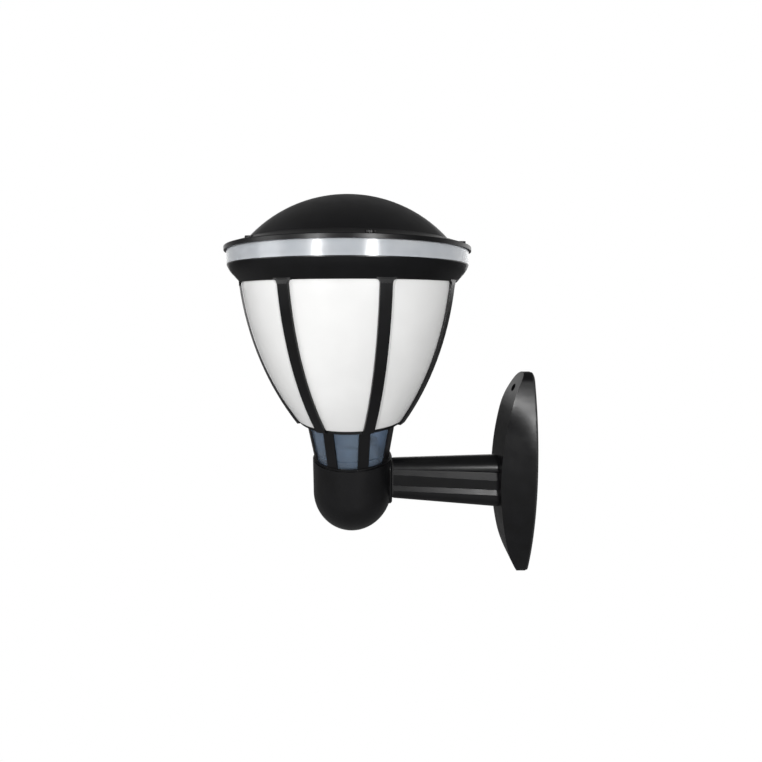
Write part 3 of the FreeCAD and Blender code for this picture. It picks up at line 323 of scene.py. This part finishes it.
def plate_front(level):
    """Depth of the front at a level: a crown arc over the middle, then a straight fall to the ends."""
    drop = PLATE_DEPTH - SHOULDER_DEPTH
    radius = (SHOULDER_LEVEL ** 2 + drop ** 2) / (2 * drop)
    crown = PLATE_DEPTH - radius + np.sqrt(radius ** 2 - np.minimum(level, SHOULDER_LEVEL) ** 2)
    fall = (level - SHOULDER_LEVEL) / (PLATE_HALF_HEIGHT - SHOULDER_LEVEL)
    return crown - np.maximum(fall, 0) * (SHOULDER_DEPTH - PLATE_EDGE_DEPTH)


def draw_in(points):
    """Points of the casting's skin beyond the arm's width move in, by a share that grows with depth.

    The pillars inside stay where they are, and at the wall nothing moves. At the front the oval's half
    width comes in to the crease's, taken as the softened smaller of the two: both to a high negative
    power, added, and the root taken back. So the crease runs into the oval near the ends.
    """
    depth = -points[:, X]
    side = np.abs(points[:, Y])
    level = np.abs(points[:, Z])
    oval = plate_outline(level)
    front = plate_front(level)
    crease = (oval ** -CREASE_SHARPNESS + CREASE_HALF_WIDTH ** -CREASE_SHARPNESS) ** (-1 / CREASE_SHARPNESS)
    reached = np.clip((depth - GASKET_HEIGHT) / (front - GASKET_HEIGHT), 0, 1)
    spare = oval - ARM_HALF_WIDTH
    share = np.where(spare > LEAST_SPARE, (crease - ARM_HALF_WIDTH) / np.maximum(spare, LEAST_SPARE), 1)
    kept = 1 - (1 - share) * reached ** FLANK_ROUND
    skin = (side > oval - PLATE_SKIN) | (depth > front - PLATE_SKIN)
    drawn = ARM_HALF_WIDTH + (side - ARM_HALF_WIDTH) * kept
    moved = np.where(skin & (side > ARM_HALF_WIDTH), drawn, side)
    points[:, Y] = np.sign(points[:, Y]) * moved
    return points


def drawn_plate():
    """Copy of the plate's casting, its long edges halved until short, then its flanks drawn in.

    The copy drops the normals that came with it, because they don't fit the drawn shape.
    """
    mesh = frame["nodes"]["wall_plate"].data.copy()
    stored_normals = mesh.attributes.get("custom_normal")
    if stored_normals:
        mesh.attributes.remove(stored_normals)
    shape = bmesh.new()
    shape.from_mesh(mesh)
    bmesh.ops.remove_doubles(shape, verts=shape.verts, dist=MERGE_DISTANCE)
    for _ in range(HALVINGS):
        long_edges = [edge for edge in shape.edges if edge.calc_length() > EDGE_LIMIT]
        bmesh.ops.subdivide_edges(shape, edges=long_edges, cuts=1)
        bmesh.ops.triangulate(shape, faces=shape.faces)
    shape.to_mesh(mesh)
    shape.free()
    points = np.empty(3 * len(mesh.vertices))
    mesh.vertices.foreach_get("co", points)
    mesh.vertices.foreach_set("co", draw_in(points.reshape(-1, 3)).ravel())
    mesh.update()
    mesh.shade_smooth()
    mesh.set_sharp_from_angle(angle=math.radians(SHARP_ANGLE))
    plate = put("drawn_wall_plate", mesh)
    even = plate.modifiers.new("even_normals", "WEIGHTED_NORMAL")
    even.keep_sharp = True
    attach(plate, "lantern")
    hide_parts("wall_plate")


drawn_plate()

# Camera, at the photograph's place and angle, with lengths in the image in pixels and angles in degrees
SHOT = 762
FOCAL = 400
SHIFT = -41
SENSOR_WIDTH = 36
DOWN_TO_LEVEL = 90
TILT = 6.24
ROLL = 0.18
CAMERA_PLACE = (-114.4 * MM, -300 * MM, 137.5 * MM)
camera_data = bpy.data.cameras.new("camera")
camera_data.sensor_width = SENSOR_WIDTH
camera_data.lens = SENSOR_WIDTH * FOCAL / SHOT
camera_data.shift_y = SHIFT / SHOT
camera = put("camera", camera_data)
camera.location = CAMERA_PLACE
camera.rotation_euler = (math.radians(DOWN_TO_LEVEL - TILT), math.radians(ROLL), 0)
bpy.context.scene.camera = camera
bpy.context.scene.view_settings.view_transform = "Standard"


def direct_white(tree, lit):
    """White where it is looked at, straight or through clear plastic, and lit as given for all other rays."""
    straight = add(tree, "LightPath", {}, "Is Camera Ray")
    through = add(tree, "LightPath", {}, "Is Transmission Ray")
    seen = add(tree, "Math", {0: straight, 1: through}, operation="MAXIMUM")
    glow = add(tree, "Emission", {"Color": WHITE, "Strength": 1.0})
    return add(tree, "MixShader", {0: seen, 1: lit, 2: glow})


def lay_floor(reach, depth, colour, roughness):
    """Plain floor well under the lantern, seen as white so that it runs into the white background."""
    mesh = bpy.data.meshes.new("floor")
    corners = [(-reach, -reach, depth), (reach, -reach, depth), (reach, reach, depth), (-reach, reach, depth)]
    mesh.from_pydata(corners, [], [range(len(corners))])
    floor = put("floor", mesh)
    material = bpy.data.materials.new("pale_studio_floor")
    material.use_nodes = True
    tree = material.node_tree
    shader = tree.nodes["Principled BSDF"]
    shader.inputs["Base Color"].default_value = tone(colour)
    shader.inputs["Roughness"].default_value = roughness
    surface = direct_white(tree, shader.outputs["BSDF"])
    tree.links.new(surface, tree.nodes["Material Output"].inputs["Surface"])
    mesh.materials.append(material)


def light_room(ambient, glow, towards, fade, edges):
    """Room light: ambient all round, with a glowing backdrop in one direction between two levels.

    fade gives the cosine to that direction where the glow has gone, then the one where it is full. Each of
    the edges gives the same two places as heights, the sine of the angle above level.
    """
    world = bpy.data.worlds.new("studio")
    bpy.context.scene.world = world
    world.use_nodes = True
    tree = world.node_tree
    heading = add(tree, "TexCoord", {}, "Generated")
    height = add(tree, "SeparateXYZ", {0: heading}, "Z")
    behind = add(tree, "VectorMath", {0: heading, 1: towards}, "Value", operation="DOT_PRODUCT")
    gone, full = fade
    backdrop = add(tree, "MapRange", {"Value": behind, "From Min": gone, "From Max": full, "To Max": glow})
    for gone, full in edges:
        edge = add(tree, "MapRange", {"Value": height, "From Min": gone, "From Max": full})
        backdrop = add(tree, "Math", {0: backdrop, 1: edge}, operation="MULTIPLY")
    total = add(tree, "Math", {0: backdrop, 1: ambient}, operation="ADD")
    room = tree.nodes["Background"]
    tree.links.new(total, room.inputs["Strength"])
    room.inputs["Color"].default_value = WHITE
    surface = direct_white(tree, room.outputs["Background"])
    tree.links.new(surface, tree.nodes["World Output"].inputs["Surface"])


def softbox(name, place, width, height, power):
    """Rectangular area light at a place, turned to face the lantern's middle."""
    data = bpy.data.lights.new(name, "AREA")
    data.shape = "RECTANGLE"
    data.size = width
    data.size_y = height
    data.energy = power
    lamp = put(name, data)
    lamp.location = place
    lamp.rotation_euler = (LANTERN_MIDDLE - lamp.location).to_track_quat("-Z", "Y").to_euler()


lay_floor(reach=9, depth=-0.3, colour="9a9a9a", roughness=0.8)
light_room(
    ambient=0.17,
    glow=1.6,
    towards=(0.30, 0.95, 0),
    fade=(0.2, 1.0),
    edges=((0.40, 0.12), (-0.34, -0.10)),
)
softbox("front_right", (0.38, -1.25, 0.23), width=0.14, height=0.27, power=9)
softbox("front_left", (-0.67, -1.25, 0.23), width=0.12, height=0.27, power=7)
softbox("far_left", (-1.30, -0.50, 0.50), width=0.5, height=0.9, power=5)
